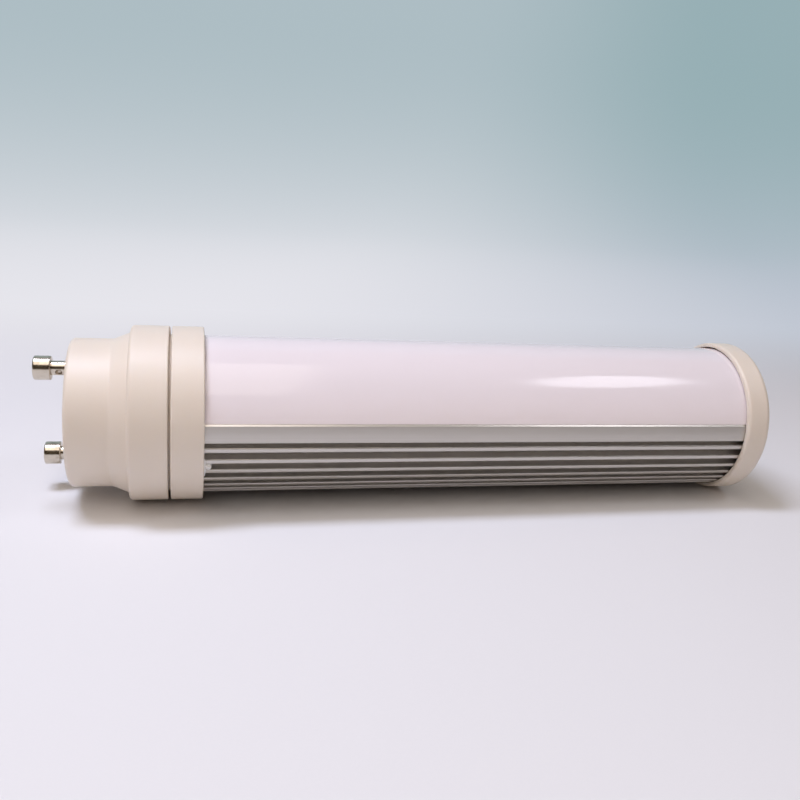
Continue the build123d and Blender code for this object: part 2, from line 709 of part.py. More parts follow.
PIECES = {
    "base_cap": base_cap(),
    "contact_pin_line": contact_pin(1),
    "contact_pin_neutral": contact_pin(-1),
    "collar": collar(),
    "collar_screws": collar_screws(),
    "heat_sink": heat_sink(),
    "diffuser": diffuser(),
    "end_cap": end_cap(),
    "end_cap_screws": end_cap_screws(),
    "thermal_pad": thermal_pad(),
    "led_board": led_board(),
    "led_board_screws": led_board_screws(),
    "led_packages": led_packages(),
    "driver_sleeve": driver_sleeve(),
    "driver_board": driver_board(),
    "fuse_resistor": fuse_resistor(),
    "film_capacitor": film_capacitor(),
    "bridge_rectifier": package(BRIDGE_LENGTH, BRIDGE_WIDTH, BRIDGE_HEIGHT, BRIDGE_LEGS, BRIDGE_AT),
    "input_choke": input_choke(),
    "input_capacitor": lying_can(INPUT_CAN_LENGTH, INPUT_CAN_AT),
    "transformer_core": transformer_core(),
    "transformer_winding": transformer_winding(),
    "controller_chip": package(CHIP_LENGTH, CHIP_WIDTH, CHIP_HEIGHT, CHIP_LEGS, CHIP_AT),
    "output_capacitor": lying_can(OUTPUT_CAN_LENGTH, OUTPUT_CAN_AT),
    "line_lead": mains_lead(1),
    "neutral_lead": mains_lead(-1),
    "led_lead_positive": led_lead(1),
    "led_lead_negative": led_lead(-1),
    "adhesive_dab": adhesive_dab(),
}

os.makedirs("parts", exist_ok=True)
for node, piece in PIECES.items():
    export_step(piece, f"parts/{node}.step")
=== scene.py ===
import math

import bmesh
import bpy
from mathutils import Matrix, Vector, noise


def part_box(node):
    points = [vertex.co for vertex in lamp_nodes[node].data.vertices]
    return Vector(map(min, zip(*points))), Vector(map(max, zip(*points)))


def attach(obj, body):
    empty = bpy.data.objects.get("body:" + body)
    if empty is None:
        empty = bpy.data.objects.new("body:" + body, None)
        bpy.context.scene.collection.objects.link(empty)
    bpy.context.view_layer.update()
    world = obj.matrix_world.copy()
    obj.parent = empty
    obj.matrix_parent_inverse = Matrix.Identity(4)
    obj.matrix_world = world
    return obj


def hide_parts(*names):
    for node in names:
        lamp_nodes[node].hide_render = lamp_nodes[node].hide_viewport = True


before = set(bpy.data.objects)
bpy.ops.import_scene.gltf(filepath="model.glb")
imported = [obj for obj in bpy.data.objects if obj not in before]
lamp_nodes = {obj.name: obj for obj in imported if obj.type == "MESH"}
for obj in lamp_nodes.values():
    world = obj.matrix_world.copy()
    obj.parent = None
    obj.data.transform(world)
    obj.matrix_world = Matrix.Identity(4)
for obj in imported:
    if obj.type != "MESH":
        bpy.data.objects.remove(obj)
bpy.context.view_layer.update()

MM = 0.001
MERGE_DISTANCE = 0.001 * MM
SHARP_ANGLE = math.radians(32)

# Camera, in the lamp's own frame
CAMERA_PLACE = Vector((24.1, -183.45, 59.61)) * MM
CAMERA_RIGHT = Vector((0.96954, -0.23166, 0.07956))
CAMERA_UP = Vector((-0.00783, 0.29535, 0.95537))
CAMERA_LENS = 37.84
CAMERA_SENSOR = 36.0
CAMERA_NEAR = 10 * MM

# Stage: a paper sweep that the lamp lies on, touching the collar and the end cap
SWEEP_HALF_WIDTH = 3.0
SWEEP_FRONT = -3.0
SWEEP_RISE = 0.55
SWEEP_RADIUS = 0.6
SWEEP_TOP = 1.8
SWEEP_ARC_STEPS = 24

# Backdrop: where it takes over behind the lamp, where it cools with distance and turns greener to the right,
# and how far it keeps from the lamp's middle on the other sides
BACKDROP_START = (0.03, 0.20)
BACKDROP_COOLING = (0.05, 1.25)
BACKDROP_TURN = (-0.10, 0.34)
BACKDROP_SLANT = 0.45
BACKDROP_MIDDLE = 0.08
BACKDROP_CLEAR = 0.4

# Lights that face down: shape, place, size, radiance with white at 1, colour, and whether gloss shows them
CEILING_LIGHTS = {
    "key_light": ("RECTANGLE", (-0.13, 0.02, 0.55), (0.26, 0.12), 19.5, (0.95, 1.02, 1.28), True),
    "broad_panel": ("RECTANGLE", (-0.12, -0.28, 0.55), (0.50, 0.62), 1.75, (1.06, 0.95, 0.88), True),
    "front_panel": ("RECTANGLE", (-0.12, -0.91, 0.55), (0.50, 0.64), 1.9, (1.06, 0.95, 0.88), False),
    "round_light": ("ELLIPSE", (0.425, -0.193, 0.55), (0.16, 0.24), 4.0, (0.98, 0.98, 1.06), True),
}

# Room: its light, and where that falls off towards the front and the right
ROOM_LIGHT = (0.20, 0.16, 0.10)
ROOM_DARK = (0.06, 0.045, 0.03)
ROOM_LEAN = (-0.4, 0.6)
ROOM_SPAN = (0.05, 0.9)
ROOM_TURN = (-0.2, 0.2)

# Colours, as linear values
PAPER = (0.79, 0.785, 0.80)
BACKDROP_LOW_LEFT = (0.81, 0.80, 0.85)
BACKDROP_LOW_RIGHT = (0.52, 0.56, 0.64)
BACKDROP_HIGH_LEFT = (0.42, 0.51, 0.55)
BACKDROP_HIGH_RIGHT = (0.31, 0.43, 0.46)
IVORY = (0.79, 0.695, 0.595)
IVORY_PALE = (0.81, 0.72, 0.62)
OPAL = (0.84, 0.77, 0.80)
# Painted light: the paler, pinker colour of the diffuser's lower part
OPAL_PAINTED_LIGHT = (0.98, 0.885, 0.905)
ALUMINIUM = (0.65, 0.62, 0.58)
ALUMINIUM_DULL = (0.56, 0.53, 0.49)
NICKEL = (0.63, 0.57, 0.48)
NICKEL_DULL = (0.47, 0.41, 0.34)
ZINC = (0.62, 0.63, 0.65)
ZINC_DULL = (0.45, 0.46, 0.49)
ADHESIVE = (0.86, 0.85, 0.82)
ADHESIVE_PALE = (0.94, 0.93, 0.91)
BOARD_WHITE = (0.78, 0.79, 0.78)
BOARD_TRACE = (0.69, 0.71, 0.70)
LED_FRAME = (0.80, 0.80, 0.78)
PHOSPHOR = (0.83, 0.58, 0.10)
PHOSPHOR_PALE = (0.88, 0.66, 0.18)
PAD_GREY = (0.25, 0.26, 0.28)
PAD_PALE = (0.36, 0.37, 0.39)
LAMINATE_GREEN = (0.015, 0.12, 0.05)
LAMINATE_TRACE = (0.03, 0.22, 0.09)
LAMINATE_EDGE = (0.42, 0.36, 0.20)
SLEEVE_BLUE = (0.05, 0.16, 0.42)
SLEEVE_PALE = (0.09, 0.24, 0.52)
FERRITE = (0.035, 0.034, 0.036)
FERRITE_PALE = (0.075, 0.073, 0.075)
TAPE_YELLOW = (0.72, 0.47, 0.04)
TAPE_LAP = (0.55, 0.34, 0.02)
COPPER = (0.62, 0.24, 0.10)
COPPER_DARK = (0.36, 0.11, 0.04)
CAN_FILM = (0.02, 0.03, 0.07)
CAN_STRIPE = (0.55, 0.57, 0.60)
TIN = (0.66, 0.66, 0.65)
FILM_CASE = (0.60, 0.38, 0.08)
FILM_CASE_DARK = (0.50, 0.30, 0.06)
EPOXY = (0.025, 0.025, 0.027)
EPOXY_PALE = (0.05, 0.05, 0.052)
RESISTOR_COAT = (0.42, 0.52, 0.55)
RESISTOR_BANDS = [(0.45, 0.10, 0.03), (0.02, 0.02, 0.02), (0.70, 0.35, 0.03)]
INSULATION = {"black": (0.02, 0.02, 0.022), "white": (0.75, 0.74, 0.71), "red": (0.50, 0.03, 0.03)}
DUST = 0.4
DUST_SHARE = 0.1

# Screws, with heights from the middle of the head's face. A head that isn't flat underneath is a cone, and
# the tip narrows from the core to the point
EDGE_STEPS = 6
TURN_STEPS = 40
HELIX_STEPS = 20
SCREWS = {
    "end_cap_screws": {
        "aim": (1, 0, 0),
        "head": {"radius": 2.7 * MM, "rounding": 0.08 * MM, "seat": -1.5 * MM, "flat": False},
        "shank": {"core": 1.2 * MM, "end": -10.5 * MM, "tip": 1.2 * MM, "point": 0.096 * MM},
        "recess": {"Recess Length": 2.9 * MM, "Recess Width": 0.6 * MM, "Recess Depth": 1.1 * MM},
        "thread": {
            "Thread Start": -2.6 * MM,
            "Thread End": -9.7 * MM,
            "Pitch": 1.0 * MM,
            "Crest": 0.24 * MM,
        },
    },
    "collar_screws": {
        "aim": (-1, 0, 0),
        "head": {"radius": 2.8 * MM, "rounding": 0.8 * MM, "seat": -1.9 * MM, "flat": True},
        "shank": {"core": 1.2 * MM, "end": -10.9 * MM, "tip": 1.2 * MM, "point": 0.096 * MM},
        "recess": {"Recess Length": 2.9 * MM, "Recess Width": 0.6 * MM, "Recess Depth": 1.1 * MM},
        "thread": {
            "Thread Start": -3.9 * MM,
            "Thread End": -10.1 * MM,
            "Pitch": 1.0 * MM,
            "Crest": 0.24 * MM,
        },
    },
    "led_board_screws": {
        "aim": (0, 0, 1),
        "head": {"radius": 2.0 * MM, "rounding": 0.3 * MM, "seat": -1.3 * MM, "flat": True},
        "shank": {"core": 1.0 * MM, "end": -4.5 * MM, "tip": 0.1 * MM, "point": 0.9 * MM},
        "recess": {"Recess Length": 2.2 * MM, "Recess Width": 0.5 * MM, "Recess Depth": 0.8 * MM},
        "thread": {
            "Thread Start": -2.7 * MM,
            "Thread End": -4.2 * MM,
            "Pitch": 0.5 * MM,
            "Crest": 0.12 * MM,
        },
    },
}
SCREW_SEED = 7
THREAD_SIDES = 4

# LED packages
LED_PART = "led_part"
LED_BODY, LED_WINDOW, LED_TERMINAL = 0, 1, 2
LED_ROW_COUNT = 18
LED_SIZES = {"Width": 5.0 * MM, "Height": 1.6 * MM, "Window": 4.0 * MM, "Well": 0.2 * MM}
LED_POOL_DROP = 0.74
LED_TERMINAL_LENGTH = 0.5 * MM
LED_TERMINAL_WIDTH = 0.9 * MM
LED_TERMINAL_HEIGHT = 0.5 * MM
LED_TERMINAL_STEP = 1.6 * MM
LED_TERMINAL_PROUD = 0.04 * MM

# Winding of the choke, in the recess between its flanges
CHOKE_FLANGE = 0.9 * MM
CHOKE_RECESS = 0.4 * MM
CHOKE_WIRE = 0.36 * MM
CHOKE_PITCH = 1.03 * CHOKE_WIRE
CHOKE_WIRE_SIDES = 10

# Adhesive dab: a blob in its groove and a smear over the fins beside it, along the collar
DAB_STEP = 0.05 * MM
DAB_FINENESS = 4
DAB_ROUGH = 0.3
DAB_LUMPS = 1.5
DAB_EASING = 4
DAB_PROUD = 0.85 * MM
DAB_SWELL = 1.25
SMEAR_ANGLES = (15.5, 31.0)
SMEAR_BEADS = 40
SMEAR_BEAD = 0.5 * MM
SMEAR_FINENESS = 2
SMEAR_DIP = 0.3 * MM
SMEAR_DIP_SHARPNESS = 4
SMEAR_ROUGH = 0.6
SMEAR_LUMPS = 9
SMEAR_TAPER = 0.03

# Diffuser: painted light, paler and pinker towards its lower edges: heights between which it fades out, and
# how far that line wanders
OPAL_PAINTED_LIGHT_FADE = (2 * MM, 14 * MM)
OPAL_PAINTED_LIGHT_WANDER = 2 * MM

# Inner pieces: marks that their finishes tell apart. Three values are a mark's start, end and soft edge
PRINT_EDGE = 0.05 * MM
TRACE_EDGE = 0.1 * MM
BOARD_CELL_LEAD = 1.3 * MM
BOARD_CELL_GAPS = (0.15 * MM, 0.3 * MM)
BOARD_CELL_SIDES = (3.2 * MM, 9.8 * MM)
PAD_WEAVE = 0.5 * MM
PAD_THREAD = (0.1 * MM, 0.4 * MM, 0.06 * MM)
LAMINATE_STEP = 2.4 * MM
LAMINATE_LINE = (0.5 * MM, 1.5 * MM, 0.08 * MM)
LAMINATE_MASK = 0.05 * MM
LAMINATE_MASK_EDGE = 0.02 * MM
TAPE_STEP = 2.2 * MM
TAPE_SLANT = 0.25
TAPE_EDGE = 0.25 * MM
CAN_STRIPE_SIDES = (0.4 * MM, 2.6 * MM, 0.08 * MM)
CAN_LEGS_LENGTH = 1.9 * MM
CAN_BARE_END = 0.35 * MM
CHIP_LEG_REACH = 0.9 * MM
CHIP_DOT = 0.4 * MM
CHIP_DOT_INSET = 0.8 * MM
CHIP_FACE = 0.05 * MM
RESISTOR_HALF = 3.55 * MM
RESISTOR_BAND = 0.7 * MM
RESISTOR_BAND_STEP = 1.5 * MM


def find_socket(sockets, key):
    """A socket by its place, or the first one in use with that name."""
    if isinstance(key, int):
        return sockets[key]
    return next(s for s in sockets if s.enabled and s.name == key)


class Value:
    """An output socket. Sums written with it add Math nodes to its tree."""

    def __init__(self, graph, socket):
        self.graph = graph
        self.socket = socket

    def math(self, operation, first, second=0.0):
        """A Math node on one or two values."""
        return self.graph.take("ShaderNodeMath", {"operation": operation}, {0: first, 1: second})

    def __add__(self, other):
        return self.math("ADD", self, other)

    def __radd__(self, other):
        return self.math("ADD", other, self)

    def __sub__(self, other):
        return self.math("SUBTRACT", self, other)

    def __rsub__(self, other):
        return self.math("SUBTRACT", other, self)

    def __mul__(self, other):
        return self.math("MULTIPLY", self, other)

    def __rmul__(self, other):
        return self.math("MULTIPLY", other, self)

    def __truediv__(self, other):
        return self.math("DIVIDE", self, other)

    def __rtruediv__(self, other):
        return self.math("DIVIDE", other, self)

    def __mod__(self, other):
        return self.math("FLOORED_MODULO", self, other)

    def __gt__(self, other):
        return self.math("GREATER_THAN", self, other)

    def __lt__(self, other):
        return self.math("LESS_THAN", self, other)

    def __abs__(self):
        return self.math("ABSOLUTE", self)

    def most(self, other):
        """The larger of two values."""
        return self.math("MAXIMUM", self, other)


class Graph:
    """A node tree that nodes are added to."""

    def __init__(self, tree):
        self.tree = tree
        tree.nodes.clear()

    def add(self, kind, settings=None, sockets=None):
        """Make a node: its settings first, then the values or links of its sockets."""
        node = self.tree.nodes.new(kind)
        for name, setting in (settings or {}).items():
            setattr(node, name, setting)
        for key, value in (sockets or {}).items():
            self.fill(find_socket(node.inputs, key), value)
        return node

    def take(self, kind, settings=None, sockets=None, output=0):
        """Make a node and give one of its outputs."""
        return Value(self, find_socket(self.add(kind, settings, sockets).outputs, output))

    def split(self, vector):
        """The three parts of a vector."""
        parts = self.add("ShaderNodeSeparateXYZ", {}, {"Vector": vector})
        return [Value(self, socket) for socket in parts.outputs]

    def rise(self, value, low, high):
        """Smooth step from 0 at low to 1 at high."""
        return self.take(
            "ShaderNodeMapRange",
            {"interpolation_type": "SMOOTHSTEP"},
            {"Value": value, "From Min": low, "From Max": high},
        )

    def blend(self, factor, first, second):
        """Colour between two others."""
        return self.take(
            "ShaderNodeMix", {"data_type": "RGBA"}, {"Factor": factor, "A": first, "B": second}, "Result"
        )

    def fill(self, socket, value):
        """Link a value, or each value of a list, to a socket, or set it to a constant."""
        if isinstance(value, Value):
            self.tree.links.new(value.socket, socket)
        elif isinstance(value, list):
            for each in value:
                self.fill(socket, each)
        elif socket.type == "RGBA":
            socket.default_value = (*value, 1.0)
        else:
            socket.default_value = value


class Shaper(Graph):
    """A Geometry Nodes tree that grows a shape on the points of a mesh, with named inputs for its sizes."""

    def __init__(self, name, inputs):
        super().__init__(bpy.data.node_groups.new(name, "GeometryNodeTree"))
        for label, kind in ({"Geometry": "Geometry", "Finish": "Material"} | inputs).items():
            self.tree.interface.new_socket(label, in_out="INPUT", socket_type=f"NodeSocket{kind}")
        self.tree.interface.new_socket("Geometry", in_out="OUTPUT", socket_type="NodeSocketGeometry")
        self.start = self.add("NodeGroupInput")

    def given(self, label):
        """The value of a named input."""
        return Value(self, find_socket(self.start.outputs, label))

    def vector(self, x, y, z):
        """A vector from its three parts."""
        return self.take("ShaderNodeCombineXYZ", {}, {"X": x, "Y": y, "Z": z})

    def box(self, size, middle=(0, 0, 0)):
        """Box about a place."""
        cube = self.take("GeometryNodeMeshCube", {}, {"Size": self.vector(*size)}, "Mesh")
        return self.moved(cube, middle)

    def moved(self, shape, place):
        """A shape moved from the origin to a place."""
        sockets = {"Geometry": shape, "Translation": self.vector(*place)}
        return self.take("GeometryNodeTransform", {}, sockets)

    def marked(self, shape, attribute, value):
        """A shape with one attribute value on its faces."""
        settings = {"data_type": "FLOAT", "domain": "FACE"}
        sockets = {"Geometry": shape, "Name": attribute, "Value": value}
        return self.take("GeometryNodeStoreNamedAttribute", settings, sockets)

    def joined(self, shapes):
        """Several shapes as one."""
        return self.take("GeometryNodeJoinGeometry", {}, {"Geometry": shapes})

    def cut(self, shape, tools):
        """A shape with others cut out of it."""
        settings = {"operation": "DIFFERENCE", "solver": "EXACT"}
        return self.take("GeometryNodeMeshBoolean", settings, {"Mesh 1": shape, "Mesh 2": tools})

    def helix(self, radius, run, pitch, wire, sides):
        """Right-handed wire about Z, from the origin's level up."""
        sockets = {"Start Radius": radius, "End Radius": radius, "Height": run, "Rotations": run / pitch}
        path = self.take(
            "GeometryNodeCurveSpiral", {}, sockets | {"Resolution": HELIX_STEPS, "Reverse": True}
        )
        section = self.take("GeometryNodeCurvePrimitiveCircle", {}, {"Resolution": sides, "Radius": wire})
        sockets = {"Curve": path, "Profile Curve": section, "Fill Caps": True}
        return self.take("GeometryNodeCurveToMesh", {}, sockets)

    def close(self, shape, rotation=(0, 0, 0)):
        """End the tree: the shape on each point, as one plain mesh with its finish."""
        sockets = {"Points": self.given("Geometry"), "Instance": shape, "Rotation": rotation}
        placed = self.take("GeometryNodeInstanceOnPoints", {}, sockets)
        plain = self.take("GeometryNodeRealizeInstances", {}, {"Geometry": placed})
        sockets = {"Geometry": plain, "Material": self.given("Finish")}
        self.add("NodeGroupOutput", {}, {"Geometry": self.take("GeometryNodeSetMaterial", {}, sockets)})


class Finish(Graph):
    """The node tree of one finish, around its Principled shader."""

    def __init__(self, name, constants=None):
        self.material = bpy.data.materials.new(name)
        self.material.use_nodes = True
        super().__init__(self.material.node_tree)
        self.shader = self.add("ShaderNodeBsdfPrincipled", {}, constants)
        self.lit = Value(self, self.shader.outputs[0])
        self.output = self.add("ShaderNodeOutputMaterial", {}, {"Surface": self.lit})
        self.place = self.take("ShaderNodeTexCoord", output="Object")
        self.x, self.y, self.z = self.split(self.place)

    def set(self, name, value):
        """Fill one of the shader's sockets."""
        self.fill(find_socket(self.shader.inputs, name), value)

    def grain(self, size, detail=2.0, stretch=(1, 1, 1)):
        """Noise from 0 to 1 with patches of about this size, drawn out by the stretch along each axis."""
        scale = tuple(1 / (size * s) for s in stretch)
        spread = self.take("ShaderNodeMapping", {}, {"Vector": self.place, "Scale": scale})
        return self.take("ShaderNodeTexNoise", {}, {"Vector": spread, "Scale": 1.0, "Detail": detail})

    def within(self, value, low, high, edge):
        """1 between two limits and 0 outside them, with soft edges."""
        return self.rise(value, low - edge, low + edge) * (1 - self.rise(value, high - edge, high + edge))

    def relief(self, height, depth):
        """Surface relief from a height between 0 and 1."""
        bump = self.take("ShaderNodeBump", {}, {"Strength": 1.0, "Distance": depth, "Height": height})
        self.set("Normal", bump)


def ivory_plastic():
    """Moulded satin plastic of the base, the collar and the end cap."""
    constants = {"IOR": 1.49, "Subsurface Weight": 0.15, "Subsurface Scale": 1.0 * MM}
    constants |= {"Subsurface Radius": (1.0, 0.8, 0.6), "Coat Weight": 0.6, "Coat Roughness": 0.48}
    f = Finish("ivory_plastic", constants)
    cloud = f.grain(14 * MM, detail=3)
    fine = f.grain(0.22 * MM)
    f.set("Base Color", f.blend(cloud, IVORY, IVORY_PALE))
    f.set("Roughness", 0.44 + 0.10 * fine)
    f.relief(fine, 0.006 * MM)
    return f.material


def opal_plastic():
    """Polished opal plastic of the diffuser, with faint lines along it. Towards its lower edges the colour
    is painted paler and pinker: painted light standing in for light shining through the opal.
    """
    constants = {"IOR": 1.5, "Subsurface Weight": 0.1, "Subsurface Scale": 2.0 * MM}
    f = Finish("opal_plastic", constants | {"Subsurface Radius": (1.0, 1.0, 1.0)})
    cloud = f.grain(25 * MM, detail=3)
    lines = f.grain(0.5 * MM, stretch=(300, 1, 1))
    # Painted light: below these heights the diffuser's colour turns paler and pinker
    low = 1 - f.rise(f.z + OPAL_PAINTED_LIGHT_WANDER * cloud, *OPAL_PAINTED_LIGHT_FADE)
    f.set("Base Color", f.blend(low, OPAL, OPAL_PAINTED_LIGHT))
    f.set("Roughness", 0.08 + 0.06 * lines)
    f.relief(lines, 0.0006 * MM)
    return f.material


def anodised_aluminium():
    """Satin extrusion with die lines along its length."""
    f = Finish("anodised_aluminium", {"Metallic": 0.9})
    lines = f.grain(0.22 * MM, stretch=(3000, 1, 1))
    cloud = f.grain(6 * MM, detail=3, stretch=(12, 1, 1))
    f.set("Base Color", f.blend(0.7 * lines + 0.3 * cloud, ALUMINIUM_DULL, ALUMINIUM))
    f.set("Roughness", 0.28 + 0.14 * lines)
    f.relief(lines, 0.012 * MM)
    return f.material


def nickel_plate():
    """Plated turned pins, with fine turning marks and a duller film in places."""
    f = Finish("nickel_plate", {"Metallic": 1.0})
    rings = f.grain(0.12 * MM, stretch=(1, 60, 60))
    cloud = f.grain(1.6 * MM, detail=3)
    f.set("Base Color", f.blend(f.rise(cloud, 0.45, 0.75), NICKEL, NICKEL_DULL))
    f.set("Roughness", 0.14 + 0.12 * rings)
    f.relief(rings, 0.004 * MM)
    return f.material


def zinc_steel():
    """Zinc-plated screws."""
    f = Finish("zinc_steel", {"Metallic": 1.0})
    cloud = f.grain(0.8 * MM, detail=3)
    f.set("Base Color", f.blend(cloud, ZINC_DULL, ZINC))
    f.set("Roughness", 0.28 + 0.2 * cloud)
    return f.material


def adhesive():
    """Set white adhesive."""
    f = Finish("adhesive", {"IOR": 1.45})
    cloud = f.grain(0.5 * MM, detail=3)
    f.set("Base Color", f.blend(cloud, ADHESIVE, ADHESIVE_PALE))
    f.set("Roughness", 0.3 + 0.2 * cloud)
    return f.material


def white_board():
    """White solder mask of the LED board, with traces that show faintly along both rows."""
    f = Finish("white_board", {"IOR": 1.5})
    low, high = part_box("led_packages")
    step = (high.x - low.x - LED_SIZES["Width"]) / (LED_ROW_COUNT - 1)
    along = (f.x - low.x + BOARD_CELL_LEAD) % step
    cells = f.within(along, BOARD_CELL_GAPS[0], step - BOARD_CELL_GAPS[1], TRACE_EDGE)
    traces = f.within(abs(f.y), *BOARD_CELL_SIDES, TRACE_EDGE) * cells
    fine = f.grain(0.15 * MM)
    f.set("Base Color", f.blend(traces, BOARD_TRACE, BOARD_WHITE))
    f.set("Roughness", 0.32 + 0.12 * fine)
    f.relief(traces + 0.2 * fine, 0.03 * MM)
    return f.material


def led_resin():
    """LED packages: a white frame, a phosphor window and tinned ends, told apart by a mesh attribute."""
    f = Finish("led_resin", {"IOR": 1.5})
    part = f.take("ShaderNodeAttribute", {"attribute_name": LED_PART}, {}, "Fac")
    fine = f.grain(0.12 * MM)
    window = f.blend(fine, PHOSPHOR, PHOSPHOR_PALE)
    tinned = part > (LED_WINDOW + LED_TERMINAL) / 2
    moulding = f.blend(part > (LED_BODY + LED_WINDOW) / 2, LED_FRAME, window)
    f.set("Base Color", f.blend(tinned, moulding, TIN))
    f.set("Roughness", 0.35 + 0.2 * fine)
    f.set("Metallic", tinned)
    return f.material


def grey_pad():
    """Grey silicone sheet over a woven cloth."""
    f = Finish("grey_pad", {"IOR": 1.42})
    weave = f.within(f.x % PAD_WEAVE, *PAD_THREAD) * f.within(f.y % PAD_WEAVE, *PAD_THREAD)
    f.set("Base Color", f.blend(weave, PAD_GREY, PAD_PALE))
    f.set("Roughness", 0.55 + 0.2 * weave)
    f.relief(weave, 0.02 * MM)
    return f.material


def green_laminate():
    """Driver board: green mask over copper traces, and bare laminate round its edge."""
    f = Finish("green_laminate", {"IOR": 1.5})
    low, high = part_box("driver_board")
    traces = f.within(f.y % LAMINATE_STEP, *LAMINATE_LINE) * f.rise(f.grain(5 * MM, detail=1), 0.42, 0.48)
    mask = 1 - f.within(f.z, low.z + LAMINATE_MASK, high.z - LAMINATE_MASK, LAMINATE_MASK_EDGE)
    masked = f.blend(traces, LAMINATE_GREEN, LAMINATE_TRACE)
    f.set("Base Color", f.blend(mask, LAMINATE_EDGE, masked))
    f.set("Roughness", 0.6 - 0.3 * mask)
    f.relief(traces, 0.03 * MM)
    return f.material


def blue_sleeve():
    """Insulating film of the driver, with soft creases."""
    f = Finish("blue_sleeve", {"IOR": 1.55})
    creases = f.grain(5 * MM, detail=3, stretch=(0.4, 2, 2))
    f.set("Base Color", f.blend(creases, SLEEVE_BLUE, SLEEVE_PALE))
    f.set("Roughness", 0.22 + 0.2 * creases)
    f.relief(creases, 0.15 * MM)
    return f.material


def ferrite():
    """Pressed and ground ferrite."""
    f = Finish("ferrite", {"IOR": 1.6})
    grains = f.grain(0.12 * MM, detail=4)
    f.set("Base Color", f.blend(grains, FERRITE, FERRITE_PALE))
    f.set("Roughness", 0.5 + 0.25 * grains)
    f.relief(grains, 0.01 * MM)
    return f.material


def winding_tape():
    """Yellow polyester tape in overlapping laps round the transformer's winding."""
    f = Finish("winding_tape", {"IOR": 1.5})
    lap = f.rise((f.x + TAPE_SLANT * f.z) % TAPE_STEP, 0.0, TAPE_EDGE)
    soft = f.grain(1.2 * MM, detail=3)
    f.set("Base Color", f.blend(lap, TAPE_LAP, TAPE_YELLOW))
    f.set("Roughness", 0.24 + 0.2 * soft)
    f.relief(lap + 0.3 * soft, 0.05 * MM)
    return f.material


def copper_winding():
    """Enamelled copper wire."""
    f = Finish("copper_winding", {"Metallic": 1.0})
    cloud = f.grain(0.6 * MM, detail=3)
    f.set("Base Color", f.blend(cloud, COPPER_DARK, COPPER))
    f.set("Roughness", 0.22 + 0.15 * cloud)
    return f.material


def can_film(node):
    """Capacitor: a dark printed film with a pale stripe, and bare metal on its ends and legs."""
    f = Finish(f"can_film_{node}", {"IOR": 1.5})
    low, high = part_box(node)
    can_end = high.x - CAN_LEGS_LENGTH
    film = f.within(f.x, low.x + CAN_BARE_END, can_end - CAN_BARE_END, PRINT_EDGE)
    stripe = f.within(f.y, *CAN_STRIPE_SIDES) * (f.z < (low.z + high.z) / 2)
    fine = f.grain(0.3 * MM)
    f.set("Base Color", f.blend(film, TIN, f.blend(stripe, CAN_FILM, CAN_STRIPE)))
    f.set("Roughness", 0.26 + 0.12 * fine)
    f.set("Metallic", 1 - film)
    f.relief(fine, 0.005 * MM)
    return f.material


def film_case():
    """Moulded box of the film capacitor."""
    f = Finish("film_case", {"IOR": 1.5})
    cloud = f.grain(2 * MM, detail=3)
    fine = f.grain(0.2 * MM)
    f.set("Base Color", f.blend(cloud, FILM_CASE_DARK, FILM_CASE))
    f.set("Roughness", 0.38 + 0.15 * fine)
    f.relief(fine, 0.01 * MM)
    return f.material


def black_epoxy(node):
    """Chip: matt black moulding with tinned legs along two sides and a dot at its first leg."""
    f = Finish(f"black_epoxy_{node}", {"IOR": 1.5})
    low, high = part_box(node)
    middle = (low.y + high.y) / 2
    legs = abs(f.y - middle) > (high.y - low.y) / 2 - CHIP_LEG_REACH
    across = abs(f.x - low.x - CHIP_DOT_INSET) + abs(f.y - low.y - CHIP_LEG_REACH - CHIP_DOT_INSET)
    dot = (across < CHIP_DOT) * (f.z < low.z + CHIP_FACE)
    grains = f.grain(0.1 * MM, detail=3)
    moulding = f.blend(dot, f.blend(grains, EPOXY, EPOXY_PALE), CAN_STRIPE)
    f.set("Base Color", f.blend(legs, moulding, TIN))
    f.set("Roughness", 0.5 + 0.2 * grains)
    f.set("Metallic", legs)
    return f.material


def resistor_coat():
    """Fusible resistor: a coated body with colour bands, and tinned legs."""
    f = Finish("resistor_coat", {"IOR": 1.5})
    low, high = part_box("fuse_resistor")
    middle = (low.x + high.x) / 2
    body = 1 - (abs(f.x - middle) > RESISTOR_HALF)
    colour = RESISTOR_COAT
    for i, band in enumerate(RESISTOR_BANDS):
        start = middle + (i - len(RESISTOR_BANDS) / 2) * RESISTOR_BAND_STEP
        colour = f.blend(f.within(f.x, start, start + RESISTOR_BAND, PRINT_EDGE), colour, band)
    fine = f.grain(0.3 * MM)
    f.set("Base Color", f.blend(body, TIN, colour))
    f.set("Roughness", 0.3 + 0.15 * fine)
    f.set("Metallic", 1 - body)
    return f.material


def insulation(name):
    """Plastic insulation of a lead."""
    f = Finish(f"{name}_insulation", {"IOR": 1.5})
    fine = f.grain(0.3 * MM, detail=3)
    dusty = tuple((1 - DUST_SHARE) * c + DUST_SHARE * DUST for c in INSULATION[name])
    f.set("Base Color", f.blend(fine, INSULATION[name], dusty))
    f.set("Roughness", 0.36 + 0.15 * fine)
    f.relief(fine, 0.01 * MM)
    return f.material


